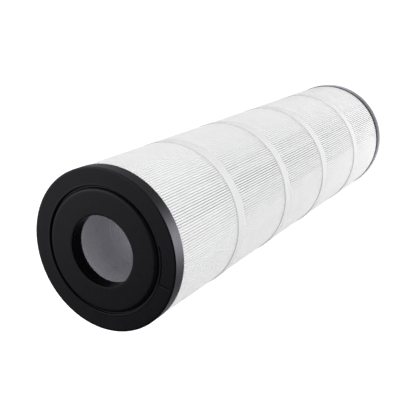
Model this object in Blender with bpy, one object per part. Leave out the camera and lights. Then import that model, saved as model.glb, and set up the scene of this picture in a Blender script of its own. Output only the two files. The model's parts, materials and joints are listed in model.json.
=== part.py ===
"""Pleated pool and spa filter cartridge, open at both ends.

It stands upright on +Z with its origin at the centre of the bottom cap's lowest face.
Two cast end caps hold a ring of pleated polyester and the perforated core inside it.
Four straps run round the pleat tips.  Lengths are in millimetres, scaled to metres when
each mesh is made.  Angles round +Z start at +X.
"""

from math import cos, pi, radians, sin

import bmesh
import bpy

for old in list(bpy.data.objects):
    bpy.data.objects.remove(old, do_unlink=True)

# ---------------------------------------------------------------- shared sizes, mm

MM = 0.001                   # metres in a millimetre
GAP = 0.3                    # clearance between neighbouring pieces
SHARP_ANGLE = 35.0           # degrees, edges sharper than this are not smoothed

LENGTH = 651.0               # over the raised discs of both caps
DISC_RISE = 1.3              # raised inner disc above the cap's outer ring
TOP_RING_Z = LENGTH - DISC_RISE
CEILING_D = 8.0              # from the disc face down to the roof of the cap's trough
INSIDE_LOW = CEILING_D + GAP            # ends of the media, bead and core
INSIDE_HIGH = LENGTH - INSIDE_LOW

PLEAT_OUT_R = 87.3           # pleat tips
PLEAT_IN_R = 44.0            # inner folds
AROUND_PLEATS_R = PLEAT_OUT_R + GAP     # inside of the cap rims and the bands
SEAM_AT = 90.0               # degrees round +Z, where the sheet's ends meet


# ---------------------------------------------------------------- helpers

def polar(radius, angle, z):
    return (radius * cos(angle), radius * sin(angle), z)


def angle_between(first, second):
    """Unsigned difference of two angles, the short way round."""
    return abs((first - second + pi) % (2 * pi) - pi)


def bridge(bm, here, there):
    """Quads between two closed loops of vertices."""
    for i in range(len(here)):
        j = (i + 1) % len(here)
        bm.faces.new((here[i], here[j], there[j], there[i]))


def bridge_ring(bm, sections):
    """Join a closed ring of sections, the last one to the first."""
    for here, there in zip(sections, sections[1:] + sections[:1]):
        bridge(bm, here, there)


def section_at(bm, profile, angle):
    """Vertices of a (radius, z) profile stood at one angle round Z."""
    return [bm.verts.new(polar(r, angle, z)) for r, z in profile]


def lathe(profile, sides):
    """A closed profile of (radius, z) points turned round Z."""
    bm = bmesh.new()
    bridge_ring(bm, [section_at(bm, profile, 2 * pi * k / sides) for k in range(sides)])
    return bm


def arc(centre_r, centre_z, radius, start, end, steps):
    """Points of a rounding in a profile, from start to end in degrees."""
    points = []
    for i in range(steps + 1):
        angle = radians(start + (end - start) * i / steps)
        points.append((centre_r + radius * cos(angle), centre_z + radius * sin(angle)))
    return points


def add_object(name, bm, mat, parent):
    """Turn a bmesh in millimetres into a smooth-shaded object in metres."""
    bmesh.ops.recalc_face_normals(bm, faces=bm.faces)
    bmesh.ops.scale(bm, vec=(MM, MM, MM), verts=bm.verts)
    mesh = bpy.data.meshes.new(name)
    bm.to_mesh(mesh)
    bm.free()
    mesh.materials.append(mat)
    mesh.shade_smooth()
    mesh.set_sharp_from_angle(angle=radians(SHARP_ANGLE))
    obj = bpy.data.objects.new(name, mesh)
    bpy.context.scene.collection.objects.link(obj)
    obj.parent = parent
    return obj


# ---------------------------------------------------------------- materials

def material(name, colour, roughness):
    mat = bpy.data.materials.new(name)
    mat.use_nodes = True
    shader = mat.node_tree.nodes["Principled BSDF"]
    shader.inputs["Base Color"].default_value = (*colour, 1.0)
    shader.inputs["Roughness"].default_value = roughness
    return mat


CAP_MAT = material("cap_polyurethane", colour=(0.012, 0.012, 0.013), roughness=0.42)
MEDIA_MAT = material("media_polyester", colour=(0.80, 0.81, 0.82), roughness=0.9)
SEAM_MAT = material("seam_hot_melt", colour=(0.78, 0.76, 0.70), roughness=0.5)
BAND_MAT = material("band_polyester", colour=(0.86, 0.87, 0.88), roughness=0.8)
CORE_MAT = material("core_plastic", colour=(0.30, 0.30, 0.32), roughness=0.5)


# ---------------------------------------------------------------- end caps

CAP_R = 88.2                 # outer radius
CAP_SIDES = 64
RIM_H = 15.9                 # height of the cap's side, from the ring face
EDGE = 0.9                   # bevel of the ring's outer edge
GROOVE_OUT_R = 68.9          # outer wall of the groove round the disc
GROOVE_D = 2.6               # depth of the groove below the ring face
GROOVE_BEVEL = 0.5           # at the top of the groove's outer wall
DISC_R = 66.8                # side wall of the raised disc
SHOULDER = 3.4               # rounding from the disc face to its side wall
BORE_R = 38.4                # centre hole
BORE_BEVEL = 0.6             # where the disc face meets the bore
NECK_R = 40.3                # outside of the bore's neck
NECK_D = 16.1                # depth of the neck, from the disc face

# Raised blank pad on the top cap's outer ring
PAD_IN_R, PAD_OUT_R = 71.0, 85.8
PAD_START, PAD_END = 218.8, 251.1    # degrees round +Z
PAD_RISE = 0.3
PAD_SUNK = 1.5               # depth of the block below the ring face
PAD_STEPS = 8


def cap_profile():
    """The cap's section with z = 0 at the disc face and the cap below it."""
    ring_z = -DISC_RISE
    rim_z = ring_z - RIM_H
    groove_z = ring_z - GROOVE_D
    return [
        (CAP_R, rim_z),
        *arc(CAP_R - EDGE, ring_z - EDGE, EDGE, start=0, end=90, steps=1),
        (GROOVE_OUT_R + GROOVE_BEVEL, ring_z),
        (GROOVE_OUT_R, ring_z - GROOVE_BEVEL),
        (GROOVE_OUT_R, groove_z),
        (DISC_R, groove_z),
        *arc(DISC_R - SHOULDER, -SHOULDER, SHOULDER, start=0, end=90, steps=2),
        *arc(BORE_R + BORE_BEVEL, -BORE_BEVEL, BORE_BEVEL, start=90, end=180, steps=1),
        (BORE_R, -NECK_D),
        (NECK_R, -NECK_D),
        (NECK_R, -CEILING_D),
        (AROUND_PLEATS_R, -CEILING_D),
        (AROUND_PLEATS_R, rim_z),
    ]


def make_pad_block(parent):
    """A block along the outer ring, sunk into it, that stands up as the blank pad."""
    low, high = TOP_RING_Z - PAD_SUNK, TOP_RING_Z + PAD_RISE
    profile = [(PAD_IN_R, low), (PAD_OUT_R, low), (PAD_OUT_R, high), (PAD_IN_R, high)]
    bm = bmesh.new()
    sections = [
        section_at(bm, profile, radians(PAD_START + (PAD_END - PAD_START) * i / PAD_STEPS))
        for i in range(PAD_STEPS + 1)
    ]
    for here, there in zip(sections, sections[1:]):
        bridge(bm, here, there)
    bm.faces.new(sections[0])
    bm.faces.new(sections[-1][::-1])
    block = add_object("pad_block", bm, CAP_MAT, parent)
    block.hide_render = True
    block.display_type = "WIRE"
    return block


def make_top_cap(parent):
    bm = lathe([(r, LENGTH + z) for r, z in cap_profile()], CAP_SIDES)
    cap = add_object("top_end_cap", bm, CAP_MAT, parent)
    join = cap.modifiers.new("blank_pad", "BOOLEAN")
    join.operation = "UNION"
    join.object = make_pad_block(parent)


def make_bottom_cap(parent):
    bm = lathe([(r, -z) for r, z in cap_profile()], CAP_SIDES)
    add_object("bottom_end_cap", bm, CAP_MAT, parent)


# ---------------------------------------------------------------- pleats

PLEATS = 192
SEAM_PITCHES = 1.7           # width kept for the seam, in pleat pitches
PITCH = 2 * pi / (PLEATS - 1 + SEAM_PITCHES)    # angle from pleat to pleat
SEAM_HALF = SEAM_PITCHES * PITCH / 2            # from the seam to the nearest pleat

MEDIA_T = 0.56               # thickness of the polyester sheet
FOLD_T = MEDIA_T * 1.6       # radial thickness of the sheet at a fold
TIP_HALF = MEDIA_T / PLEAT_OUT_R                # half the angle of an outer fold
INNER_FOLD_HALF = MEDIA_T / PLEAT_IN_R * 0.97   # half the angle of an inner fold

END_R = PLEAT_IN_R + 2.0     # inner edge of the sheet's two end legs
END_LEAN = PITCH * 0.30      # angle from the last tip to that edge
END_T = MEDIA_T / END_R      # angle the sheet's thickness takes there


def media_runs():
    """(radius, angle) points along the sheet's two sides, from end leg to end leg."""
    first = radians(SEAM_AT) + SEAM_HALF
    last = first + (PLEATS - 1) * PITCH
    outer = [(END_R, first - END_LEAN - END_T)]
    inner = [(END_R, first - END_LEAN)]
    for k in range(PLEATS):
        tip = first + k * PITCH
        outer += [(PLEAT_OUT_R, tip - TIP_HALF), (PLEAT_OUT_R, tip + TIP_HALF)]
        inner.append((PLEAT_OUT_R - FOLD_T, tip))
        if k < PLEATS - 1:
            valley = tip + PITCH / 2
            outer.append((PLEAT_IN_R + FOLD_T, valley))
            inner += [
                (PLEAT_IN_R, valley - INNER_FOLD_HALF),
                (PLEAT_IN_R, valley + INNER_FOLD_HALF),
            ]
    outer.append((END_R, last + END_LEAN + END_T))
    inner.append((END_R, last + END_LEAN))
    return outer, inner


def fill_media_end(bm, outer, inner):
    """Close one end of the sheet between its two sides, three points a pleat."""
    bm.faces.new((outer[0], outer[1], inner[1]))
    bm.faces.new((outer[0], inner[1], inner[0]))
    for k in range(PLEATS):
        n = 1 + 3 * k
        bm.faces.new((outer[n], outer[n + 1], inner[n]))
        bm.faces.new((outer[n + 1], outer[n + 2], inner[n + 1], inner[n]))
        if k < PLEATS - 1:
            bm.faces.new((outer[n + 2], inner[n + 2], inner[n + 1]))
            bm.faces.new((outer[n + 2], outer[n + 3], inner[n + 3], inner[n + 2]))


def make_media(parent):
    """One open sheet folded into pleats."""
    bm = bmesh.new()
    outer, inner = media_runs()
    (outer_low, outer_high), (inner_low, inner_high) = (
        [[bm.verts.new(polar(r, a, z)) for r, a in run] for z in (INSIDE_LOW, INSIDE_HIGH)]
        for run in (outer, inner)
    )
    for low, high in ((outer_low, outer_high), (inner_low, inner_high)):
        for i in range(len(low) - 1):
            bm.faces.new((low[i], low[i + 1], high[i + 1], high[i]))
    for end in (0, -1):
        bm.faces.new((outer_low[end], outer_high[end], inner_high[end], inner_low[end]))
    fill_media_end(bm, outer_low, inner_low)
    fill_media_end(bm, outer_high, inner_high)
    add_object("pleated_media", bm, MEDIA_MAT, parent)


# ---------------------------------------------------------------- seam bead

BEAD_IN = PLEAT_IN_R + 12.0      # distances of the bead's faces from the Z axis
BEAD_OUT = PLEAT_OUT_R - 4.0
BEAD_GAP = GAP * 1.1             # from each end leg


def bead_half_width(x):
    """Half the space between the end legs at x, with the seam's middle laid along +X."""
    x0, y0, _ = polar(END_R, SEAM_HALF - END_LEAN - END_T, 0.0)
    x1, y1, _ = polar(PLEAT_OUT_R, SEAM_HALF - TIP_HALF, 0.0)
    return y0 + (x - x0) / (x1 - x0) * (y1 - y0) - BEAD_GAP


def make_seam(parent):
    """The hot-melt bead between the sheet's two end legs."""
    turn = radians(SEAM_AT)
    half_in, half_out = bead_half_width(BEAD_IN), bead_half_width(BEAD_OUT)
    outline = [
        (BEAD_IN, half_in), (BEAD_OUT, half_out),
        (BEAD_OUT, -half_out), (BEAD_IN, -half_in),
    ]
    bm = bmesh.new()
    low, high = (
        [
            bm.verts.new((x * cos(turn) - y * sin(turn), x * sin(turn) + y * cos(turn), z))
            for x, y in outline
        ]
        for z in (INSIDE_LOW, INSIDE_HIGH)
    )
    bridge(bm, low, high)
    bm.faces.new(low[::-1])
    bm.faces.new(high)
    add_object("media_seam_bead", bm, SEAM_MAT, parent)


# ---------------------------------------------------------------- bands

BAND_T = 1.0
BAND_W = 15.6
BAND_OUT_R = AROUND_PLEATS_R + BAND_T
BAND_TOPS = (132.6, 261.0, 387.6, 518.4)   # top edges, down from the top ring face
BAND_SIDES = 64
LAP_T = 0.6                  # extra thickness where a band laps over itself
LAP_LENGTH = 26.0            # along the band
LAP_HALF = LAP_LENGTH / BAND_OUT_R / 2     # half the lap, as an angle
LAP_RAMP = 0.02              # radians over which the lap rises to full thickness
LAP_STAGGER = 16.0           # degrees from one band's lap to the next
MERGE_ANGLE = 0.008          # radians, sides this close to a lap's edge give way to it


def band_angles(lap_at):
    """Even steps round the band, with stations added at both ends of the lap's ramps."""
    angles = [2 * pi * k / BAND_SIDES for k in range(BAND_SIDES)]
    for offset in (-LAP_HALF, -LAP_HALF + LAP_RAMP, LAP_HALF - LAP_RAMP, LAP_HALF):
        edge = lap_at + offset
        angles = [a for a in angles if angle_between(a, edge) > MERGE_ANGLE]
        angles.append(edge % (2 * pi))
    return sorted(angles)


def make_band(number, top_down, parent):
    """A strap round the pleat tips, thicker where its end laps over its start."""
    high = TOP_RING_Z - top_down
    low = high - BAND_W
    lap_at = radians(SEAM_AT + LAP_STAGGER * number)
    bm = bmesh.new()
    sections = []
    for angle in band_angles(lap_at):
        rise = (LAP_HALF - angle_between(angle, lap_at)) / LAP_RAMP
        outer = BAND_OUT_R + LAP_T * min(1.0, max(0.0, rise))
        profile = [(AROUND_PLEATS_R, low), (outer, low), (outer, high), (AROUND_PLEATS_R, high)]
        sections.append(section_at(bm, profile, angle))
    bridge_ring(bm, sections)
    add_object(f"band_{number}", bm, BAND_MAT, parent)


# ---------------------------------------------------------------- core

CORE_IN_R = 41.0
CORE_OUT_R = 43.4
PLUG_OUT_R = 42.0
SOCKET_IN_R = PLUG_OUT_R + GAP
CORE_RADII = (CORE_IN_R, PLUG_OUT_R, SOCKET_IN_R, CORE_OUT_R)
JOINT_H = 4.0                # height of a plug or socket
CORE_SECTIONS = 5
CORE_COLUMNS = 6             # openings round the core
CORE_ROWS = 4                # openings along one section
HOOP_H = 4.5                 # height of the hoops between the rows
RIB_SHARE = 0.24             # part of a column's angle taken by its upright rib
SLOT_STEPS = 3               # grid cells across an opening
COLUMN_CELLS = 1 + SLOT_STEPS    # the rib is one cell, at the start of its column


def core_angles():
    column = 2 * pi / CORE_COLUMNS
    rib = column * RIB_SHARE
    slot = column - rib
    angles = []
    for c in range(CORE_COLUMNS):
        start = column * c
        angles.append(start)
        angles += [start + rib + slot * i / SLOT_STEPS for i in range(SLOT_STEPS)]
    return angles


def core_layers(low, high, plug, socket):
    """Kinds of the section's layers, bottom to top, and the heights between them."""
    kinds = ["plug"] * plug + ["hoop", "slots"] * CORE_ROWS + ["hoop"] + ["socket"] * socket
    hoops_and_joints = HOOP_H * (CORE_ROWS + 1) + JOINT_H * (plug + socket)
    layer_h = {
        "plug": JOINT_H,
        "socket": JOINT_H,
        "hoop": HOOP_H,
        "slots": (high - low - hoops_and_joints) / CORE_ROWS,
    }
    heights = [low]
    for kind in kinds:
        heights.append(heights[-1] + layer_h[kind])
    return kinds, heights


def make_core_section(number, low, high, plug, socket, parent):
    """One moulded cage: a thin tube with rows of openings, a plug at its foot and a
    socket at its top, built from the solid cells of a grid in angle, height and radius."""
    angles = core_angles()
    kinds, heights = core_layers(low, high, plug, socket)
    shells = len(CORE_RADII) - 1
    bm = bmesh.new()
    verts = {}

    def solid(i, j, k):
        if not (0 <= j < len(kinds) and 0 <= k < shells):
            return False
        if kinds[j] == "plug":
            return k == 0
        if kinds[j] == "socket":
            return k == shells - 1
        return kinds[j] == "hoop" or i % COLUMN_CELLS == 0

    def vert(i, j, k):
        key = (i % len(angles), j, k)
        if key not in verts:
            verts[key] = bm.verts.new(polar(CORE_RADII[k], angles[key[0]], heights[j]))
        return verts[key]

    def add_open_sides(cell):
        """Faces of a solid cell that no other solid cell covers."""
        for axis in range(3):
            across, along = (other for other in range(3) if other != axis)
            for side in (0, 1):
                beside = list(cell)
                beside[axis] += 1 if side else -1
                if solid(*beside):
                    continue
                loop = []
                for p, q in ((0, 0), (1, 0), (1, 1), (0, 1)):
                    corner = list(cell)
                    corner[axis] += side
                    corner[across] += p
                    corner[along] += q
                    loop.append(vert(*corner))
                bm.faces.new(loop)

    for i in range(len(angles)):
        for j in range(len(kinds)):
            for k in range(shells):
                if solid(i, j, k):
                    add_open_sides((i, j, k))
    # Merge the flat runs of grid cells into single faces.
    bmesh.ops.recalc_face_normals(bm, faces=bm.faces)
    bmesh.ops.dissolve_limit(bm, angle_limit=radians(0.5), verts=bm.verts, edges=bm.edges)
    add_object(f"core_section_{number}", bm, CORE_MAT, parent)


def make_core(parent):
    """Sections stacked end to end, each plugged into the socket of the one below."""
    pitch = (INSIDE_HIGH - INSIDE_LOW) / CORE_SECTIONS
    for n in range(CORE_SECTIONS):
        plug, socket = n > 0, n < CORE_SECTIONS - 1
        low = INSIDE_LOW + n * pitch + (GAP if plug else 0.0)
        high = INSIDE_LOW + (n + 1) * pitch + (JOINT_H if socket else 0.0)
        make_core_section(n + 1, low, high, plug, socket, parent)


# ---------------------------------------------------------------- build

cartridge = bpy.data.objects.new("filter_cartridge", None)
bpy.context.scene.collection.objects.link(cartridge)

make_top_cap(cartridge)
make_bottom_cap(cartridge)
make_media(cartridge)
make_seam(cartridge)
for band_number, band_top in enumerate(BAND_TOPS, start=1):
    make_band(band_number, band_top, cartridge)
make_core(cartridge)
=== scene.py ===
"""Looks of a pleated filter cartridge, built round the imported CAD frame.

The cartridge stands on its bottom cap at z = 0 with its axis along Z. The media's glued
seam faces +Y. Two black caps hold the white pleats, four straps go round the pleats, and
five cage sections stand inside them as the core.

Lengths in the builders are millimetres, turned into metres as each mesh is made.
Lengths in materials, lights and camera are metres.
"""

import json
from itertools import accumulate
from math import cos, pi, radians, sin

import bpy
import numpy as np
from mathutils import Matrix, Vector

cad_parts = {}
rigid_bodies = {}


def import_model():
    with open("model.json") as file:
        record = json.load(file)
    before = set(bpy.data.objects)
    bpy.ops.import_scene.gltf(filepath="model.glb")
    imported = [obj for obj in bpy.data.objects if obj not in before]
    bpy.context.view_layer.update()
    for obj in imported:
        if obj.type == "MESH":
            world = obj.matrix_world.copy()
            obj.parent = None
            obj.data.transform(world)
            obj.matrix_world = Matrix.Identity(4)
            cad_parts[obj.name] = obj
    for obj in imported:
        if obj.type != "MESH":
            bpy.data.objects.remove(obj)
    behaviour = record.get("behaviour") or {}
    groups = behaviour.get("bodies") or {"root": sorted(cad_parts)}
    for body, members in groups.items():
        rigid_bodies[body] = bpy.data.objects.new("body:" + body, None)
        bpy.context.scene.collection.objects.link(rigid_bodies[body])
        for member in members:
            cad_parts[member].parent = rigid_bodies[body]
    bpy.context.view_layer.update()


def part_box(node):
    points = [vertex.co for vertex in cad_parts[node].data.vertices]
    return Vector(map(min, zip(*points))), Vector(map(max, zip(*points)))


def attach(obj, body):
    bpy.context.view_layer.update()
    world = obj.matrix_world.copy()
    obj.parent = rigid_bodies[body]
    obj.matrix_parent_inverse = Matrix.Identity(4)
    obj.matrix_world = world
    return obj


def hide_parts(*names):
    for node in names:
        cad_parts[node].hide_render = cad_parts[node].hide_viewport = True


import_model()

MM = 0.001


# ---------------------------------------------------------------- shared sizes, mm

def box_mm(node):
    low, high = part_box(node)
    return np.array(low) / MM, np.array(high) / MM


TOP_HIGH = box_mm("top_end_cap")[1]
MEDIA_LOW, MEDIA_HIGH = box_mm("pleated_media")
CORE_LOW, CORE_HIGH = box_mm("core_section_1")
LENGTH = float(TOP_HIGH[2])
CAP_R = float(TOP_HIGH[0])
PLEAT_OUT_R = float(MEDIA_HIGH[0] - MEDIA_LOW[0]) / 2
CORE_OUT_R = float(CORE_HIGH[0] - CORE_LOW[0]) / 2
BAND_COUNT, SECTION_COUNT = 4, 5
BAND_Z = []
for number in range(1, BAND_COUNT + 1):
    band_low, band_high = box_mm(f"band_{number}")
    BAND_Z.append((float(band_low[2]), float(band_high[2])))
BAND_MIDS = sorted((low + high) / 2 for low, high in BAND_Z)

DISC_RISE = 1.3                        # the cap's inner disc stands above its outer ring
RING_Z = LENGTH - DISC_RISE
BORE_R = 38.4
PLEATS = 192
SEAM_AT = radians(90.0)
SEAM_PITCHES = 1.7                     # the gap left for the seam
PITCH = 2 * pi / (PLEATS - 1 + SEAM_PITCHES)
FIRST_PLEAT = SEAM_AT + SEAM_PITCHES * PITCH / 2


# ---------------------------------------------------------------- mesh helpers

def new_object(name, points, faces, material, sharp=40.0, attributes=None):
    """points in millimetres, faces as a list of index tuples or an (n, 4) array."""
    mesh = bpy.data.meshes.new(name)
    points = np.asarray(points, np.float64) * MM
    if isinstance(faces, np.ndarray):
        count, corners = faces.shape
        mesh.vertices.add(len(points))
        mesh.vertices.foreach_set("co", points.astype(np.float32).ravel())
        mesh.loops.add(count * corners)
        mesh.loops.foreach_set("vertex_index", faces.astype(np.int32).ravel())
        mesh.polygons.add(count)
        mesh.polygons.foreach_set("loop_start", np.arange(count, dtype=np.int32) * corners)
        mesh.update(calc_edges=True)
        mesh.validate()
    else:
        mesh.from_pydata([tuple(point) for point in points], [], faces)
        mesh.update()
    for key, values in (attributes or {}).items():
        attribute = mesh.attributes.new(key, "FLOAT_VECTOR", "POINT")
        attribute.data.foreach_set("vector", np.asarray(values, np.float32).ravel())
    mesh.materials.append(material)
    mesh.shade_smooth()
    mesh.set_sharp_from_angle(angle=radians(sharp))
    piece = bpy.data.objects.new(name, mesh)
    bpy.context.scene.collection.objects.link(piece)
    return piece


def stand_in(piece, node):
    """Put a finished piece in the place of its CAD node."""
    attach(piece, "root")
    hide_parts(node)


def tube_faces(rings, per_ring, closed_round=True):
    """Quads of a grid whose rows are rings and whose columns wrap round the section."""
    last = rings if closed_round else rings - 1
    row = np.arange(last)[:, None]
    column = np.arange(per_ring)[None, :]
    next_row, next_column = (row + 1) % rings, (column + 1) % per_ring
    quads = np.stack([
        row * per_ring + column, row * per_ring + next_column,
        next_row * per_ring + next_column, next_row * per_ring + column], axis=-1)
    return quads.reshape(-1, 4)


def around(radius, angles, height):
    """Points from cylindrical grids whose rows follow the angles."""
    turn = angles[:, None]
    height = np.broadcast_to(height, radius.shape)
    return np.stack([radius * np.cos(turn), radius * np.sin(turn), height], -1).reshape(-1, 3)


def arc(centre_r, centre_z, radius, start, end, steps):
    turns = np.radians(np.linspace(start, end, steps + 1))
    return [(centre_r + radius * cos(turn), centre_z + radius * sin(turn)) for turn in turns]


def line(start, end, steps):
    """The points between start and end, without either."""
    return [
        (start[0] + (end[0] - start[0]) * i / steps, start[1] + (end[1] - start[1]) * i / steps)
        for i in range(1, steps)
    ]


def smooth_step(x, low, high):
    share = np.clip((x - low) / (high - low), 0, 1)
    return share * share * (3 - 2 * share)


def value_noise(rng, count, positions, spacing, follow=0.0):
    """For each of count rows, a smooth random curve sampled at positions.

    follow is the share that each row takes from the row before it.
    """
    low = positions.min()
    knots = int(np.ceil((positions.max() - low) / spacing)) + 2
    values = rng.uniform(-1, 1, (count, knots))
    if follow:
        for k in range(1, count):
            values[k] = follow * values[k - 1] + (1 - follow) * values[k]
    place = (positions - low) / spacing
    knot = np.floor(place).astype(int)
    share = place - knot
    share = share * share * (3 - 2 * share)
    return values[:, knot] * (1 - share) + values[:, knot + 1] * share


# ---------------------------------------------------------------- node helper

class Nodes:
    """A short way to write the node tree of a material or a world."""

    def __init__(self, owner, output="ShaderNodeOutputMaterial"):
        self.owner = owner
        owner.use_nodes = True
        self.tree = owner.node_tree
        self.tree.nodes.clear()
        self.out = self.add(output)

    def add(self, kind, inputs=None, **settings):
        """A node. Each input is given a value, or a socket to link from."""
        node = self.tree.nodes.new(kind)
        for key, value in settings.items():
            setattr(node, key, value)
        for key, value in (inputs or {}).items():
            if isinstance(value, bpy.types.NodeSocket):
                self.tree.links.new(value, node.inputs[key])
            else:
                node.inputs[key].default_value = value
        return node

    def shader(self, kind, inputs):
        return self.add(kind, inputs).outputs[0]

    def math(self, operation, value, by=0.0, plus=None, clamp=False):
        inputs = {0: value, 1: by}
        if plus is not None:
            inputs[2] = plus
        return self.add("ShaderNodeMath", inputs, operation=operation, use_clamp=clamp).outputs[0]

    def vector(self, operation, value, by=None, output="Vector"):
        inputs = {0: value}
        if by is not None:
            inputs[1] = by
        return self.add("ShaderNodeVectorMath", inputs, operation=operation).outputs[output]

    def flat(self, place):
        """The place without its height."""
        return self.vector("MULTIPLY", place, by=(1, 1, 0))

    def length(self, place):
        return self.vector("LENGTH", place, output="Value")

    def object_coords(self, scale=None):
        coords = self.add("ShaderNodeTexCoord").outputs["Object"]
        if scale is None:
            return coords
        mapping = self.add("ShaderNodeMapping", {"Vector": coords, "Scale": scale})
        return mapping.outputs["Vector"]

    def attribute(self, name, output):
        return self.add("ShaderNodeAttribute", attribute_name=name).outputs[output]

    def noise(self, vector, scale, detail=2.0, roughness=0.5):
        node = self.add("ShaderNodeTexNoise", {
            "Vector": vector, "Scale": scale, "Detail": detail, "Roughness": roughness})
        return node.outputs["Fac"]

    def ramp(self, fac, low, high):
        """A colour between two stops, each a (position, colour)."""
        node = self.add("ShaderNodeValToRGB", {"Fac": fac})
        for element, (position, colour) in zip(node.color_ramp.elements, (low, high)):
            element.position = position
            element.color = (*colour, 1)
        return node.outputs["Color"]

    def span(self, value, to_low, to_high, from_low=0.0, from_high=1.0, kind="LINEAR"):
        node = self.add("ShaderNodeMapRange", {
            "Value": value, "From Min": from_low, "From Max": from_high,
            "To Min": to_low, "To Max": to_high}, interpolation_type=kind)
        return node.outputs["Result"]

    def fade(self, value, start, end):
        """A smooth rise from 0 at start to 1 at end."""
        return self.span(value, 0.0, 1.0, start, end, kind="SMOOTHSTEP")

    def lobe(self, direction, toward, sharp):
        """A soft patch of light: how closely a direction points toward a given one."""
        aim = Vector(toward).normalized()
        dot = self.vector("DOT_PRODUCT", direction, by=aim, output="Value")
        lifted = self.math("MULTIPLY_ADD", dot, by=0.5, plus=0.5, clamp=True)
        return self.math("POWER", lifted, by=sharp)

    def choose(self, switch, off, on):
        node = self.add("ShaderNodeMix", {0: switch, 2: off, 3: on}, data_type="FLOAT")
        return node.outputs[0]

    def choose_colour(self, switch, off, on):
        node = self.add("ShaderNodeMixRGB", {"Fac": switch, "Color1": off, "Color2": on})
        return node.outputs["Color"]

    def bump(self, height, distance, strength, normal=None):
        inputs = {"Height": height, "Distance": distance, "Strength": strength}
        if normal is not None:
            inputs["Normal"] = normal
        return self.add("ShaderNodeBump", inputs).outputs["Normal"]

    def finish(self, shader):
        self.tree.links.new(shader, self.out.inputs["Surface"])
        return self.owner


# ---------------------------------------------------------------- materials

def cap_material():
    """Cast black polyurethane: deep black, satin, a faint cloudiness and fine grain."""
    net = Nodes(bpy.data.materials.new("cap_polyurethane"))
    place = net.object_coords()
    cloud = net.noise(place, scale=38.0, detail=3.0, roughness=0.55)
    grain = net.noise(place, scale=900.0, detail=1.0)
    swirl = net.noise(place, scale=150.0, detail=3.0)
    colour = net.ramp(
        cloud, low=(0.30, (0.0008, 0.0008, 0.0010)), high=(0.70, (0.0014, 0.0014, 0.0018)))
    satin = net.span(swirl, to_low=0.24, to_high=0.31, from_low=0.3, from_high=0.7)
    rough = net.math("ADD", satin, by=net.math("MULTIPLY", grain, by=0.03))
    normal = net.bump(grain, distance=0.000012, strength=0.3)
    normal = net.bump(swirl, distance=0.0002, strength=0.10, normal=normal)
    # The core pin leaves the wall of the bore matt.
    shine = net.span(
        net.length(net.flat(place)), to_low=0.03, to_high=0.5,
        from_low=(BORE_R + 0.05) * MM, from_high=(BORE_R + 0.5) * MM)
    # Painted shade: along the witness line across the ring the reflection is turned down, as the
    # narrow line would lie in shadow.
    line_shade = net.attribute("line", "Fac")
    shine = net.math("MULTIPLY", shine, by=net.math("MULTIPLY_ADD", line_shade, by=-0.68, plus=1.0))
    return net.finish(net.shader("ShaderNodeBsdfPrincipled", {
        "Base Color": colour, "Roughness": rough, "IOR": 1.5,
        "Specular IOR Level": shine, "Normal": normal}))


# Turn (radians) and stretch of each layer of fibres.
FIBRE_LAYERS = (
    (0.35, (1.0, 1.0, 0.16)),
    (-0.8, (1.0, 0.9, 0.22)),
    (1.35, (0.9, 1.0, 0.2)),
)


def fibres(net, vector, scale):
    """A tangle of fine bonded fibres: the ridges of crossed, stretched noises."""
    total = None
    for turn, stretch in FIBRE_LAYERS:
        mapping = net.add("ShaderNodeMapping", {
            "Vector": vector, "Rotation": (turn, turn * 0.7, turn), "Scale": stretch})
        fac = net.noise(mapping.outputs["Vector"], scale, detail=2.0, roughness=0.6)
        centred = net.math("SUBTRACT", fac, by=0.5)
        slope = net.math("ABSOLUTE", net.math("MULTIPLY", centred, by=5.0))
        ridge = net.math("SUBTRACT", 1.0, by=slope, clamp=True)
        total = ridge if total is None else net.math("ADD", total, by=ridge)
    return total


def media_material():
    """White spunbond polyester: matt, slightly see-through, with a fine fibre tangle."""
    net = Nodes(bpy.data.materials.new("media_polyester"))
    place = net.object_coords()
    fibre = fibres(net, place, scale=2200.0)
    patch = net.noise(place, scale=55.0, detail=4.0, roughness=0.6)
    tone = net.math(
        "ADD", net.math("MULTIPLY", fibre, by=0.10), by=net.math("MULTIPLY", patch, by=0.9))
    colour = net.ramp(
        tone, low=(0.2, (0.905, 0.906, 0.912)), high=(0.85, (0.950, 0.950, 0.950)))
    # Light soaks through the fibres, so a fold's shading follows its own curve only partly.
    flat = net.flat(place)
    outward = net.vector("NORMALIZE", flat)
    own = net.add("ShaderNodeNewGeometry").outputs["Normal"]
    outward_share = 0.36
    blend = net.add(
        "ShaderNodeMix", {0: outward_share, 4: own, 5: outward}, data_type="VECTOR")
    softened = net.vector("NORMALIZE", blend.outputs[1])
    normal = net.bump(fibre, distance=0.00004, strength=0.02, normal=softened)
    # Painted shade: between the folds, out of the light, the fabric's colour is darkened, more so
    # further down.
    painted_gap_shade = net.span(
        net.length(flat), to_low=0.16, to_high=1.0,
        from_low=(PLEAT_OUT_R - 2.3) * MM, from_high=(PLEAT_OUT_R - 0.7) * MM)
    grey = net.add("ShaderNodeVectorMath", {0: colour, "Scale": painted_gap_shade}, operation="SCALE")
    colour = grey.outputs["Vector"]
    face = net.shader("ShaderNodeBsdfPrincipled", {
        "Base Color": colour, "Roughness": 0.85, "Specular IOR Level": 0.25,
        "Sheen Weight": 0.15, "Sheen Roughness": 0.5, "Normal": normal})
    through = net.shader("ShaderNodeBsdfTranslucent", {"Color": colour, "Normal": normal})
    return net.finish(net.shader("ShaderNodeMixShader", {"Fac": 0.40, 1: face, 2: through}))


WARP_STEP, WEFT_STEP = 0.55, 0.75      # mm, the weave's repeat across and along the strap


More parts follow.
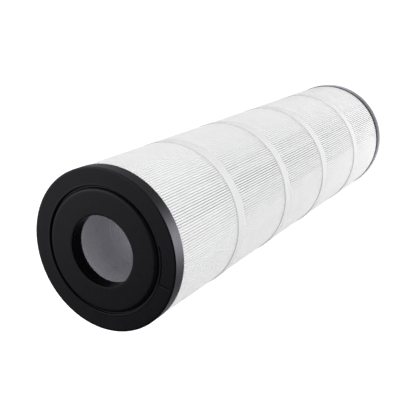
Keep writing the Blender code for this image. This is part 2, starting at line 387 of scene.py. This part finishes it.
def band_material():
    """Polyester strap: a tight weave along the strap, with painted shade darkening its sides."""
    net = Nodes(bpy.data.materials.new("band_polyester"))
    split = net.add("ShaderNodeSeparateXYZ", {"Vector": net.attribute("strap", "Vector")})
    along, across, edge_shade = (split.outputs[axis] for axis in "XYZ")
    warp = net.math("SINE", net.math("MULTIPLY", across, by=2 * pi / WARP_STEP))
    weft = net.math("SINE", net.math("MULTIPLY", along, by=2 * pi / WEFT_STEP))
    weave = net.math("MULTIPLY", warp, by=weft)
    place = net.object_coords()
    fuzz = net.noise(place, scale=2400.0, detail=3.0, roughness=0.6)
    patch = net.noise(place, scale=70.0, detail=3.0)
    woven = net.math("MULTIPLY", weave, by=0.10)
    mottle = net.math(
        "ADD", net.math("MULTIPLY", fuzz, by=0.35), by=net.math("MULTIPLY", patch, by=0.55))
    tone = net.math("ADD", woven, by=mottle)
    colour = net.ramp(
        tone, low=(0.25, (0.556, 0.557, 0.561)), high=(0.75, (0.600, 0.599, 0.600)))
    # Painted shade: the strap's sides are darkened, standing in for the shadow line along the
    # strap.
    colour = net.choose_colour(edge_shade, off=colour, on=(0.485, 0.489, 0.500, 1))
    height = net.math(
        "ADD", net.math("MULTIPLY", weave, by=0.6), by=net.math("MULTIPLY", fuzz, by=0.5))
    normal = net.bump(height, distance=0.00008, strength=0.45)
    return net.finish(net.shader("ShaderNodeBsdfPrincipled", {
        "Base Color": colour, "Roughness": 0.7, "Specular IOR Level": 0.35,
        "Sheen Weight": 0.45, "Sheen Roughness": 0.4, "Normal": normal}))


def core_material():
    """Grey moulded plastic with a fine satin grain."""
    net = Nodes(bpy.data.materials.new("core_plastic"))
    grain = net.noise(net.object_coords(), scale=1500.0, detail=3.0, roughness=0.6)
    flow = net.noise(net.object_coords(scale=(1.0, 1.0, 0.25)), scale=60.0, detail=3.0)
    colour = net.ramp(
        flow, low=(0.3, (0.280, 0.2745, 0.302)), high=(0.7, (0.306, 0.300, 0.329)))
    rough = net.span(grain, to_low=0.42, to_high=0.58)
    normal = net.bump(grain, distance=0.00003, strength=0.4)
    return net.finish(net.shader("ShaderNodeBsdfPrincipled", {
        "Base Color": colour, "Roughness": rough, "Specular IOR Level": 0.45,
        "Normal": normal}))


def seam_material():
    """Hot-melt: milky, slightly glossy, cloudy."""
    net = Nodes(bpy.data.materials.new("seam_hot_melt"))
    cloud = net.noise(net.object_coords(), scale=160.0, detail=4.0, roughness=0.6)
    colour = net.ramp(cloud, low=(0.3, (0.70, 0.68, 0.60)), high=(0.7, (0.82, 0.80, 0.74)))
    normal = net.bump(cloud, distance=0.0004, strength=0.4)
    rough = net.span(cloud, to_low=0.3, to_high=0.5)
    return net.finish(net.shader("ShaderNodeBsdfPrincipled", {
        "Base Color": colour, "Roughness": rough, "Normal": normal}))


CAP = cap_material()
MEDIA = media_material()
BAND = band_material()
CORE = core_material()
SEAM = seam_material()


# ---------------------------------------------------------------- end caps

RIM_H = 15.9
WALL_DRAFT, RIM_ROUND = 0.15, 0.5      # the wall leans in by the draft at the rim
NECK_D, NECK_R = 16.1, CORE_OUT_R + 0.2
BORE_FOOT, BORE_LIP = 0.5, 0.6         # the bore's roundings, below and at the disc
DISC_R = 66.8
SHOULDER = 3.4                         # rounding of the disc's outer edge
GROOVE_OUT_R = 68.8
GROOVE_D = 2.6
GROOVE_ROUND, GROOVE_LIP = 0.3, 0.8
EDGE, EDGE_END = 2.3, 42.0   # the outer edge is rounded over, down to the mould's joint line
CAP_SIDES = 288
# The blank pad is an insert in the mould: a fine witness line runs along its inner arc
# and one end.
PAD_LINE_R, PAD_LINE_HALF, PAD_LINE_D = 71.45, 1.5 / 2, 0.95
PAD_END_HALF, PAD_END_D = 1.6 / 2 / 78.0, 0.60     # the half width is an angle, at 78 mm
PAD_OUT_R, PAD_FADE = 85.6, 13.0
PAD_FROM, PAD_TO = radians(218.8), radians(251.1)
LINE_SHARES = (-1.0, -0.85, -0.7, -0.5, -0.2, 0.2, 0.5, 0.7, 0.85, 1.0)
CAST_WAVE = 0.03


def cap_profile():
    """Section of a cap, z = 0 at the disc face. It runs down the outside first, and the
    underside is closed, because the cap is cast solid round the pleats and the core."""
    ring = -DISC_RISE
    rim = ring - RIM_H
    groove = ring - GROOVE_D
    wall_r = CAP_R - WALL_DRAFT
    section = arc(CAP_R - EDGE * cos(radians(EDGE_END)), ring - EDGE, EDGE, 90, EDGE_END, 7)
    section += line(section[-1], (wall_r, rim + RIM_ROUND), 6)
    section += arc(wall_r - RIM_ROUND, rim + RIM_ROUND, RIM_ROUND, 0, -90, 4)
    section += line(section[-1], (NECK_R, rim), 8)
    section += [(NECK_R, rim), (NECK_R, -NECK_D), (BORE_R + BORE_FOOT, -NECK_D)]
    section += arc(BORE_R + BORE_FOOT, -NECK_D + BORE_FOOT, BORE_FOOT, 270, 180, 4)[1:]
    section += line(section[-1], (BORE_R, -0.7), 5)
    section += arc(BORE_R + BORE_LIP, -BORE_LIP, BORE_LIP, 180, 90, 6)
    section += line(section[-1], (DISC_R - SHOULDER, 0.0), 10)
    section += arc(DISC_R - SHOULDER, -SHOULDER, SHOULDER, 90, 6, 14)
    section += [(DISC_R + 0.12, groove + 0.05), (DISC_R + 0.35, groove)]
    section += arc(
        GROOVE_OUT_R - GROOVE_ROUND, groove + GROOVE_ROUND, GROOVE_ROUND, 270, 360, 3)
    section += arc(
        GROOVE_OUT_R + GROOVE_LIP, ring + 0.07 - GROOVE_LIP, GROOVE_LIP, 180, 90, 6)
    # Distance out from the groove, height above the ring.
    for out, rise in ((1.0, 0.065), (1.15, 0.06), (1.3, 0.05)):
        section.append((GROOVE_OUT_R + out, ring + rise))
    for share in LINE_SHARES:
        section.append((PAD_LINE_R + PAD_LINE_HALF * share, ring + 0.04 * max(0.0, -share)))
    section += line((PAD_LINE_R + PAD_LINE_HALF, ring), (PAD_OUT_R, ring), 12)
    return section


def cap_angles(pad):
    """Even steps round the cap, with close ones across the pad's ends."""
    angles = list(np.arange(CAP_SIDES) * 2 * pi / CAP_SIDES)
    if pad:
        close = [end + PAD_END_HALF * share for share in LINE_SHARES for end in (PAD_FROM, PAD_TO)]
        angles = [a for a in angles if min(abs(a - e) for e in close) > 0.004] + close
        angles.sort()
    return np.array(angles)


def pad_line(angles, radius, height):
    """Depth of the witness line at each point, and the share of painted shade on its part across
    the ring.
    """
    turn = angles[:, None]
    on_ring = (height > -DISC_RISE - 0.01) & (radius > GROOVE_OUT_R + 0.5)
    off_arc, off_end = np.abs(radius - PAD_LINE_R), np.abs(turn - PAD_FROM)
    arc_dip = 1 - smooth_step(off_arc, 0.45 * PAD_LINE_HALF, PAD_LINE_HALF)
    end_dip = 1 - smooth_step(off_end, 0.45 * PAD_END_HALF, PAD_END_HALF)
    along = smooth_step(turn, PAD_FROM - PAD_END_HALF, PAD_FROM)
    along = along * (1 - smooth_step(turn, PAD_TO - 0.045, PAD_TO))
    beyond_arc = smooth_step(radius, PAD_LINE_R, PAD_LINE_R + PAD_LINE_HALF)
    out = beyond_arc * np.clip((PAD_OUT_R - radius) / PAD_FADE, 0.0, 1.0)
    depth = np.maximum(PAD_LINE_D * arc_dip * along, PAD_END_D * end_dip * out) * on_ring
    line_shade_mask = end_dip * beyond_arc * on_ring
    return depth, line_shade_mask * (1 - smooth_step(radius, PAD_OUT_R - 4.0, PAD_OUT_R - 0.5))


def make_cap(name, flip, pad):
    profile = np.array(cap_profile())
    angles = cap_angles(pad)
    radius = np.repeat(profile[None, :, 0], len(angles), 0)
    height = np.repeat(profile[None, :, 1], len(angles), 0)
    painted_line_shade = np.zeros_like(height)
    if pad:
        depth, painted_line_shade = pad_line(angles, radius, height)
        height -= depth
    # A cast face is never quite flat: a slow wave of a few hundredths of a millimetre.
    wave = CAST_WAVE * np.sin(3 * angles[:, None] + 0.05 * radius)
    wave *= smooth_step(radius, BORE_R + 3, BORE_R + 9)
    wave *= 1 - smooth_step(radius, CAP_R - 6, CAP_R - 1)
    height += np.where(height > -DISC_RISE - 0.5, wave, 0.0) - CAST_WAVE
    points = around(radius, angles, -height if flip else LENGTH + height)
    quads = tube_faces(len(angles), len(profile))
    if not flip:
        quads = quads[:, ::-1]
    cap = new_object(name + "_cast", points, quads, CAP, sharp=38)
    # The line attribute holds the witness line's painted shade, read by the cap material.
    line_shade_mask = cap.data.attributes.new("line", "FLOAT", "POINT")
    line_shade_mask.data.foreach_set("value", painted_line_shade.ravel())
    stand_in(cap, name)


# ---------------------------------------------------------------- pleats

PLEAT_IN_R = 44.0
SHEET = 0.50                           # thickness of the fabric
LEAN = 0.075                           # radians that the roots trail behind the tips
POTTED = 18.4                          # depth of the first and last level inside the caps
TIP_FLATNESS = 0.68                    # pressed into a tight pack, the tips aren't round
FOLD_R = 0.09                          # radius of a root fold on its tight face
FLAP_R = PLEAT_IN_R + 2.0              # where the sheet's two free ends stop
WHOLE = 1e4                            # noise spacing that leaves a pleat nearly straight


def pleat_levels():
    stops = [POTTED, *BAND_MIDS, LENGTH - POTTED]
    levels = [MEDIA_LOW[2], MEDIA_HIGH[2], *stops]
    for low, high in zip(stops, stops[1:]):
        levels += [low + (high - low) * 0.32, low + (high - low) * 0.68]
    return np.array(sorted(levels), float)


def make_media():
    rng = np.random.default_rng(11)
    levels = pleat_levels()

    def noise(spacing, follow=0.0):
        return value_noise(rng, PLEATS, levels, spacing, follow)

    # How free the pleats are: least at the caps and straps.
    free = np.ones(len(levels))
    for stop in [18.0, LENGTH - 18.0] + BAND_MIDS:
        free = np.minimum(free, smooth_step(np.abs(levels - stop), 0.0, 34.0) * 0.75 + 0.25)
    # The tips bow out a little where no cap or strap holds them.
    bow = 0.62 * smooth_step(free, 0.25, 0.62)
    # Sideways wander of each tip, in mm; neighbours partly follow each other.
    wander = noise(95.0, follow=0.6) * 0.34 * free
    wander += noise(WHOLE, follow=0.75) * 0.34
    wander = 0.5 * wander + 0.25 * (np.roll(wander, 1, 0) + np.roll(wander, -1, 0))
    wander *= 1.05
    reach = noise(140.0) * 0.10 * free + noise(WHOLE) * 0.06
    plump = 1.0 + 0.05 * noise(120.0) + 0.04 * noise(WHOLE)
    belly = noise(110.0) * 0.10
    # The folds are fatter towards the top cap.
    fatness = 1.13 + 0.08 * smooth_step(levels, LENGTH - 260, LENGTH - 60)
    fatness += 0.05 * smooth_step(levels, LENGTH - 85, LENGTH - 30)

    tip_turn = np.radians(np.linspace(-90, 90, 7))
    fold_turn = np.radians(np.linspace(-90, 90, 4))

    def place(radius, side, angle):
        """Points from radius and sideways distance at a pleat's own angle: (levels, n, 2)."""
        c, s = np.cos(angle)[:, None], np.sin(angle)[:, None]
        return np.stack([radius * c - side * s, radius * s + side * c], -1)

    def tip(k, inset):
        angle = FIRST_PLEAT + k * PITCH + wander[k] / PLEAT_OUT_R
        fat = np.clip(fatness * plump[k], 0.9, 1.34)
        half_width = (fat - inset)[:, None]
        height = (TIP_FLATNESS * fat - inset)[:, None]
        centre = (PLEAT_OUT_R - 0.06 + bow - np.abs(reach[k]) - TIP_FLATNESS * fat)[:, None]
        return place(centre + height * np.cos(tip_turn), half_width * np.sin(tip_turn), angle)

    def root_angle(k):
        return FIRST_PLEAT + k * PITCH + 0.35 * wander[k] / PLEAT_OUT_R - LEAN

    def fold(k, inset):
        """The root between pleat k and the next."""
        radius = FOLD_R + inset
        return place(
            PLEAT_IN_R + 0.62 - radius * np.cos(fold_turn), radius * np.sin(fold_turn),
            (root_angle(k) + root_angle(k + 1)) / 2)

    def flap(k, side, inset):
        """The sheet's free end beside pleat k."""
        angle = FIRST_PLEAT + k * PITCH - LEAN + side * (PITCH * 0.30 + (SHEET - inset) / FLAP_R)
        return place(FLAP_R, 0.0, np.full(len(levels), angle))

    def surface(inset):
        """The whole section's points along one surface of the sheet, per level."""
        roots = [flap(0, -1, inset)]
        roots += [fold(k, inset) for k in range(PLEATS - 1)]
        roots.append(flap(PLEATS - 1, 1, inset))
        parts = [roots[0]]
        for k in range(PLEATS):
            crest = tip(k, inset)
            angle = FIRST_PLEAT + k * PITCH
            bulge = belly[k][:, None, None] * np.array([-sin(angle), cos(angle)])
            before, after = roots[k][:, -1:], roots[k + 1][:, :1]
            # The walls beside the seam stay straight.
            parts += [
                (before + crest[:, :1]) / 2 + bulge * (k > 0),
                crest,
                (after + crest[:, -1:]) / 2 + bulge * (k < PLEATS - 1),
                roots[k + 1]]
        return np.concatenate(parts, 1)

    outer, inner = surface(0.0), surface(SHEET)
    count = outer.shape[1]
    section = np.concatenate([outer, inner[:, ::-1]], 1)
    per = section.shape[1]
    heights = np.repeat(levels[:, None, None], per, 1)
    points = np.concatenate([section, heights], -1).reshape(-1, 3)
    sides = tube_faces(len(levels), per, closed_round=False)
    out_side = np.arange(count - 1)
    in_side = per - 1 - out_side
    bottom = np.stack([out_side, in_side, in_side - 1, out_side + 1], -1)
    top = bottom[:, ::-1] + (len(levels) - 1) * per
    faces = np.concatenate([sides, bottom, top])
    media = new_object("pleated_sheet", points, faces, MEDIA, sharp=55)
    stand_in(media, "pleated_media")


def make_seam():
    """The bead of hot-melt down the join, with a wavy, lumpy outer edge."""
    rng = np.random.default_rng(5)
    heights = np.linspace(MEDIA_LOW[2] + 0.2, MEDIA_HIGH[2] - 0.2, 150)
    lumps = value_noise(rng, 3, heights, 14.0)
    rows = []
    for i, level in enumerate(heights):
        out = PLEAT_OUT_R - 3.6 + 0.7 * lumps[0][i]
        wide = 1.15 + 0.15 * lumps[1][i]
        # Radius, half width; the other half mirrors it.
        section = [
            (56.0, 0.28), (out - 6.0, wide * 0.8), (out - 1.2, wide),
            (out - 0.3, wide * 0.72), (out, wide * 0.25)]
        section += [(radius, -half) for radius, half in reversed(section)]
        rows.append([(-half, radius, level) for radius, half in section])
    rows = np.array(rows)
    per = rows.shape[1]
    quads = tube_faces(len(heights), per, closed_round=False)
    faces = [tuple(int(corner) for corner in quad[::-1]) for quad in quads]
    faces.append(tuple(range(per)))
    faces.append(tuple(range(len(heights) * per - 1, (len(heights) - 1) * per - 1, -1)))
    bead = new_object("seam_bead", rows.reshape(-1, 3), faces, SEAM, sharp=50)
    stand_in(bead, "media_seam_bead")


# ---------------------------------------------------------------- straps

BAND_IN_R, BAND_OUT_R = PLEAT_OUT_R - 0.25, PLEAT_OUT_R + 0.93
LAP_STEP = radians(16.0)               # each strap's lap lies this much further round
LAP_HALF = 13.0 / BAND_OUT_R           # radians
LAP_RISE, LAP_RAMP = 0.55, 0.05        # mm, radians


def band_section(half):
    """Columns: share of the thickness, height from the middle, share of painted shade along the
    strap's sides.
    """
    rows = [(0.0, -half, 1.0), (0.40, -half, 1.0), (0.72, -half + 0.2, 0.7)]
    rows += [(0.92, -half + 0.5, 0.3)]
    rows += [(1.0, height, 0.0) for height in np.linspace(-half + 1.0, half - 1.0, 13)]
    rows += [(0.92, half - 0.5, 0.3), (0.72, half - 0.2, 0.7), (0.40, half, 1.0)]
    rows += [(0.0, half, 1.0), (0.0, half - 1.5, 1.0), (0.0, -half + 1.5, 1.0)]
    return np.array(rows).T


def make_band(number):
    name = f"band_{number}"
    low, high = BAND_Z[number - 1]
    half, mid = (high - low) / 2, (high + low) / 2
    lap_at = SEAM_AT + LAP_STEP * number

    def from_lap(angles):
        return (angles - lap_at + pi) % (2 * pi) - pi

    base = np.arange(PLEATS * 4) * 2 * pi / (PLEATS * 4)
    base = base[np.abs(from_lap(base)) > LAP_HALF + 0.01]
    dense = lap_at + np.linspace(-LAP_HALF - 0.008, LAP_HALF + 0.008, 80)
    cut_end = np.array([lap_at + LAP_HALF - 0.0006, lap_at + LAP_HALF + 0.0006])
    angles = np.sort(np.concatenate([base, dense, cut_end]) % (2 * pi))
    count = len(angles)
    off = from_lap(angles)
    # The strap's end lies on top of its start: a soft rise at one end, a cut at the other.
    lap = np.clip((off + LAP_HALF) / LAP_RAMP, 0, 1) * (off < LAP_HALF) * LAP_RISE
    # The wobble dies out where the ring of points closes.
    rng = np.random.default_rng(40 + number)
    step = np.arange(count)
    wobble = value_noise(rng, 2, step, 60.0)
    wobble *= np.minimum(1, np.minimum(step, count - 1 - step) / 40.0)

    share, height, edge_shade_weight = band_section(half)
    # The pleats show through as a faint scallop.
    scallop = 0.045 * np.cos((angles - FIRST_PLEAT) / PITCH * 2 * pi)
    crown = 0.08 * (1 - (height / half) ** 2)
    thick = (BAND_OUT_R - BAND_IN_R) + lap[:, None] + scallop[:, None] + crown[None, :]
    # Weld points pressed into the lap.
    along = off * BAND_OUT_R
    dent = np.zeros((count, len(share)))
    for weld_along in np.arange(-9.0, 9.1, 3.6):
        for weld_up in (-3.6, 0.0, 3.6):
            apart = (along[:, None] - weld_along) ** 2 + (height[None, :] - weld_up) ** 2
            dent += 0.28 * np.exp(-apart / 0.8)
    thick = thick - dent * (share > 0.9)
    radius = BAND_IN_R + share[None, :] * thick
    radius = radius + 0.06 * wobble[0][:, None] * share[None, :]
    # Tight on the +X side, it stands off a hair on the -X side.
    radius = radius + 0.3 * np.cos(angles + radians(177.0))[:, None]
    points = around(radius, angles, mid + height[None, :] + 0.22 * wobble[1][:, None])
    columns = ((angles * BAND_OUT_R)[:, None], height[None, :], edge_shade_weight[None, :])
    strap = np.stack([np.broadcast_to(c, radius.shape) for c in columns], -1).reshape(-1, 3)
    quads = tube_faces(count, len(share))[:, ::-1]
    band = new_object(name + "_strap", points, quads, BAND, attributes={"strap": strap})
    stand_in(band, name)


# ---------------------------------------------------------------- core

CORE_RADII = (41.0, 42.0, 42.3, CORE_OUT_R)    # three layers lie between these
LAP_H = 4.0                            # height of plug and socket
COLUMNS, RIB_STEPS, SLOT_STEPS = 6, 4, 12
COLUMN_STEPS = RIB_STEPS + SLOT_STEPS
RIB_SHARE = 0.24
PANELS = 4
HOOP_H, FINE_H, FINE_COUNT = 4.5, 2.72, 8
# Which layers are solid in each kind of row: between the ribs, and at the ribs.
# Fine hoops are thinner than the main ones and sit flush with the inside.
ROW_LAYERS = {
    "plug": ((0,), (0,)),
    "hoop": ((0, 1, 2), (0, 1, 2)),
    "groove": ((1,), (1, 2)),
    "slots": ((), (1, 2)),
    "fine": ((0, 1), (0, 1, 2)),
    "socket": ((2,), (2,)),
}
# Neighbour's step (column, row, layer), and the corners of the face turned to it.
CELL_SIDES = (
    ((-1, 0, 0), ((0, 0, 0), (0, 0, 1), (0, 1, 1), (0, 1, 0))),
    ((1, 0, 0), ((1, 0, 0), (1, 1, 0), (1, 1, 1), (1, 0, 1))),
    ((0, -1, 0), ((0, 0, 0), (1, 0, 0), (1, 0, 1), (0, 0, 1))),
    ((0, 1, 0), ((0, 1, 0), (0, 1, 1), (1, 1, 1), (1, 1, 0))),
    ((0, 0, -1), ((0, 0, 0), (0, 1, 0), (1, 1, 0), (1, 0, 0))),
    ((0, 0, 1), ((0, 0, 1), (1, 0, 1), (1, 1, 1), (0, 1, 1))),
)


def core_angles():
    column = 2 * pi / COLUMNS
    rib = column * RIB_SHARE
    slot = column - rib
    angles = []
    for c in range(COLUMNS):
        start = 2 * pi * c / COLUMNS
        angles += [start + rib * i / RIB_STEPS for i in range(RIB_STEPS)]
        angles += [start + rib + slot * i / SLOT_STEPS for i in range(SLOT_STEPS)]
    return angles


def core_rows(height, plug, socket):
    """Kind and height of each row of a cage section, from its foot up."""
    body = height - LAP_H * (plug + socket)
    window = (body - HOOP_H * (PANELS + 1)) / PANELS
    gap = (window - FINE_H * FINE_COUNT) / (FINE_COUNT + 1)
    panel = [("hoop", HOOP_H)]
    for i in range(FINE_COUNT + 1):
        panel.append(("slots" if i == FINE_COUNT // 2 else "groove", gap))
        if i < FINE_COUNT:
            panel.append(("fine", FINE_H))
    rows = [("plug", LAP_H)] * plug + panel * PANELS + [("hoop", HOOP_H)]
    return rows + [("socket", LAP_H)] * socket


def make_core_section(number):
    """A moulded cage: six ribs and close hoops. Every section but the first has a plug at
    its foot, and every one but the last has a socket on top."""
    name = f"core_section_{number}"
    low, high = (float(corner[2]) for corner in box_mm(name))
    rows = core_rows(high - low, plug=number > 1, socket=number < SECTION_COUNT)
    heights = list(accumulate((height for _, height in rows), initial=low))
    angles = core_angles()
    around_count = len(angles)

    def solid(i, j, k):
        if not 0 <= j < len(rows):
            return False
        at_rib = i % COLUMN_STEPS < RIB_STEPS
        return k in ROW_LAYERS[rows[j][0]][at_rib]

    index, points, faces = {}, [], []

    def vert(i, j, k):
        key = (i % around_count, j, k)
        if key not in index:
            index[key] = len(points)
            angle, radius = angles[key[0]], CORE_RADII[k]
            points.append((radius * cos(angle), radius * sin(angle), heights[j]))
        return index[key]

    for i in range(around_count):
        for j in range(len(rows)):
            for k in range(3):
                if not solid(i, j, k):
                    continue
                for (di, dj, dk), corners in CELL_SIDES:
                    if not solid((i + di) % around_count, j + dj, k + dk):
                        faces.append(tuple(vert(i + a, j + b, k + c) for a, b, c in corners))
    section = new_object(name + "_cage", points, faces, CORE, sharp=35)
    bevel = section.modifiers.new("moulded_edges", "BEVEL")
    bevel.width = 0.08 * MM
    bevel.segments = 1
    bevel.limit_method = "ANGLE"
    bevel.angle_limit = radians(50)
    bevel.use_clamp_overlap = True
    stand_in(section, name)


# ---------------------------------------------------------------- build

make_cap("top_end_cap", flip=False, pad=True)
make_cap("bottom_end_cap", flip=True, pad=False)
make_media()
make_seam()
for number in range(1, BAND_COUNT + 1):
    make_band(number)
for number in range(1, SECTION_COUNT + 1):
    make_core_section(number)


# ---------------------------------------------------------------- world and floor

DOME_BASE, ZENITH = 0.65, 0.45         # even light of the dome, its share straight overhead
SOFT_BOXES = (                         # direction, sharpness, strength
    ((0.39, -0.92, 0.10), 4.0, 1.52),
    ((-0.88, -0.46, 0.10), 4.0, 0.90),
    ((0.95, -0.10, 0.20), 4.0, 0.74),
)
PANEL, ROOM = 0.90, 0.010              # mirrored panel, and the dark room round it
# What matt surfaces get from the floor: an even glow, a pool on the -Y side, and a
# dimmer part on the +X side.
FLOOR_GLOW, FLOOR_POOL, FLOOR_SHADE = 0.24, 1.03, 0.45
FLOOR_SEEN = 0.50                      # what the camera sees
# What glossy surfaces mirror: even part, bright sweep, near part, part under the cap.
FLOOR_GLOSS, SWEEP, FLOOR_FOOT, FLOOR_CONTACT = 0.02, 3.45, 0.28, 2.2
FLOOR_HALF, FLOOR_DROP = 12.0, 0.0002
WHITE = (1, 1, 1, 1)


def make_world():
    world = bpy.data.worlds.new("studio")
    bpy.context.scene.world = world
    net = Nodes(world, "ShaderNodeOutputWorld")
    direction = net.add("ShaderNodeTexCoord").outputs["Generated"]
    path = net.add("ShaderNodeLightPath").outputs
    # Light on matt surfaces: an even dome, and large soft boxes round the camera's side.
    soft = DOME_BASE
    for toward, sharp, strength in SOFT_BOXES:
        patch = net.lobe(direction, toward, sharp)
        soft = net.math("MULTIPLY_ADD", patch, by=strength, plus=soft)
    # What the glossy black caps mirror: one large soft panel up on the +X +Y side.
    axes = net.add("ShaderNodeSeparateXYZ", {"Vector": direction}).outputs
    panel = net.math(
        "MULTIPLY", net.fade(axes["X"], start=-0.22, end=0.5),
        by=net.fade(axes["Z"], start=-0.05, end=0.55))
    panel = net.math("MULTIPLY", panel, by=net.fade(axes["Y"], start=-0.5, end=0.4))
    gloss = net.math("MULTIPLY_ADD", panel, by=PANEL, plus=ROOM)
    # The dome is dimmer straight overhead, so that the bore isn't lit from its mouth only.
    overhead = net.fade(axes["Z"], start=0.55, end=0.95)
    soft = net.math("MULTIPLY", soft, by=net.span(overhead, to_low=1.0, to_high=ZENITH))
    lit = net.choose(path["Is Glossy Ray"], off=soft, on=gloss)
    seen = net.choose(path["Is Camera Ray"], off=lit, on=1.0)
    tint = net.choose_colour(path["Is Glossy Ray"], off=WHITE, on=(0.97, 0.96, 1.08, 1))
    net.finish(net.shader("ShaderNodeBackground", {"Color": tint, "Strength": seen}))


def floor_material():
    net = Nodes(bpy.data.materials.new("pale_floor"))
    place = net.add("ShaderNodeNewGeometry").outputs["Position"]
    path = net.add("ShaderNodeLightPath").outputs
    tone = net.noise(place, scale=3.0)
    pale = net.ramp(tone, low=(0.3, (0.86, 0.86, 0.865)), high=(0.7, (0.88, 0.88, 0.885)))
    colour = net.choose_colour(path["Is Camera Ray"], off=(0.55, 0.55, 0.552, 1), on=pale)
    colour = net.choose_colour(path["Is Glossy Ray"], off=colour, on=(0.02, 0.02, 0.022, 1))
    matt = net.shader("ShaderNodeBsdfDiffuse", {"Color": colour})
    # Painted reflection: for glossy rays only, the floor glows as a bright sweep on one side, which
    # the black caps mirror.
    flat = net.flat(place)
    unit = net.vector("NORMALIZE", flat)
    sweep = net.lobe(unit, toward=(-0.5, -0.866, 0.0), sharp=16.0)
    sweep = net.math("MULTIPLY_ADD", sweep, by=SWEEP, plus=FLOOR_GLOSS)
    # The sweep starts well away from the cartridge, so its foot stays dark.
    far = net.length(flat)
    away = net.fade(far, start=0.16, end=0.34)
    sweep = net.math("ADD", net.math("MULTIPLY", sweep, by=away), by=FLOOR_FOOT)
    # Painted reflection: right under the lower cap the floor glows for glossy rays only, a bright
    # ring in the bottom of the cap's rim.
    contact = net.fade(far, start=0.0955, end=0.0885)
    sweep = net.math("MULTIPLY_ADD", contact, by=FLOOR_CONTACT, plus=sweep)
    # A pool of light on the floor on the camera's side lifts the lower end of the pleats.
    near = net.fade(far, start=1.0, end=0.2)
    pool = net.lobe(unit, toward=(-0.37, -0.93, 0.0), sharp=3.0)
    pool = net.math("MULTIPLY", pool, by=FLOOR_POOL)
    shade = net.lobe(unit, toward=(0.93, -0.10, 0.0), sharp=2.0)
    pool = net.math("MULTIPLY_ADD", shade, by=-FLOOR_SHADE, plus=pool)
    pool = net.math("MULTIPLY_ADD", pool, by=near, plus=FLOOR_GLOW)
    pool = net.math("MAXIMUM", pool, by=0.0)
    lit = net.choose(path["Is Glossy Ray"], off=pool, on=sweep)
    seen = net.choose(path["Is Camera Ray"], off=lit, on=FLOOR_SEEN)
    tint = net.choose_colour(path["Is Glossy Ray"], off=WHITE, on=(0.985, 0.965, 1.075, 1))
    glow = net.shader("ShaderNodeEmission", {"Color": tint, "Strength": seen})
    return net.finish(net.shader("ShaderNodeAddShader", {0: matt, 1: glow}))


def make_floor():
    material = floor_material()
    mesh = bpy.data.meshes.new("floor")
    corners = [(x * FLOOR_HALF, y * FLOOR_HALF, 0) for x, y in ((-1, -1), (1, -1), (1, 1), (-1, 1))]
    mesh.from_pydata(corners, [], [(0, 1, 2, 3)])
    mesh.materials.append(material)
    floor = bpy.data.objects.new("floor", mesh)
    floor.location.z = -FLOOR_DROP
    bpy.context.scene.collection.objects.link(floor)


# ---------------------------------------------------------------- core light, camera

CORE_LIGHT_DEPTH = 0.165               # below the top cap's ring
# The camera's place in cap radii, from the centre of the top cap's ring.
EYE_X, EYE_Y, EYE_Z = -0.1918, -5.9680, 6.5609
CAMERA_RIGHT = (-0.47563, -0.72963, -0.49133)
CAMERA_FORWARD = (0.00576, 0.55601, -0.83116)


def make_core_light():
    """A lamp on the axis that lights only the core and the pleats."""
    lamp = bpy.data.lights.new("through_the_core", "POINT")
    lamp.energy = 0.20
    lamp.shadow_soft_size = 0.02
    light = bpy.data.objects.new("through_the_core", lamp)
    light.location = (0, 0, RING_Z * MM - CORE_LIGHT_DEPTH)
    light.visible_camera = False
    light.visible_glossy = False
    bpy.context.scene.collection.objects.link(light)
    lit_inside = bpy.data.collections.new("lit_inside")
    for piece in bpy.data.objects:
        if piece.name.endswith("_cage") or piece.name == "pleated_sheet":
            lit_inside.objects.link(piece)
    light.light_linking.receiver_collection = lit_inside


def make_camera():
    lens = bpy.data.cameras.new("camera")
    lens.sensor_width = 36.0
    lens.lens = 65.70
    lens.clip_start = 0.01
    camera = bpy.data.objects.new("camera", lens)
    bpy.context.scene.collection.objects.link(camera)
    right = Vector(CAMERA_RIGHT).normalized()
    forward = Vector(CAMERA_FORWARD).normalized()
    up = right.cross(forward).normalized()
    eye = Vector((EYE_X * CAP_R * MM, EYE_Y * CAP_R * MM, (RING_Z + EYE_Z * CAP_R) * MM))
    basis = Matrix((right, up, -forward)).transposed().to_4x4()
    camera.matrix_world = Matrix.Translation(eye) @ basis
    bpy.context.scene.camera = camera


make_world()
make_floor()
make_core_light()
make_camera()
bpy.context.scene.view_settings.view_transform = "Standard"
bpy.context.scene.view_settings.look = "None"
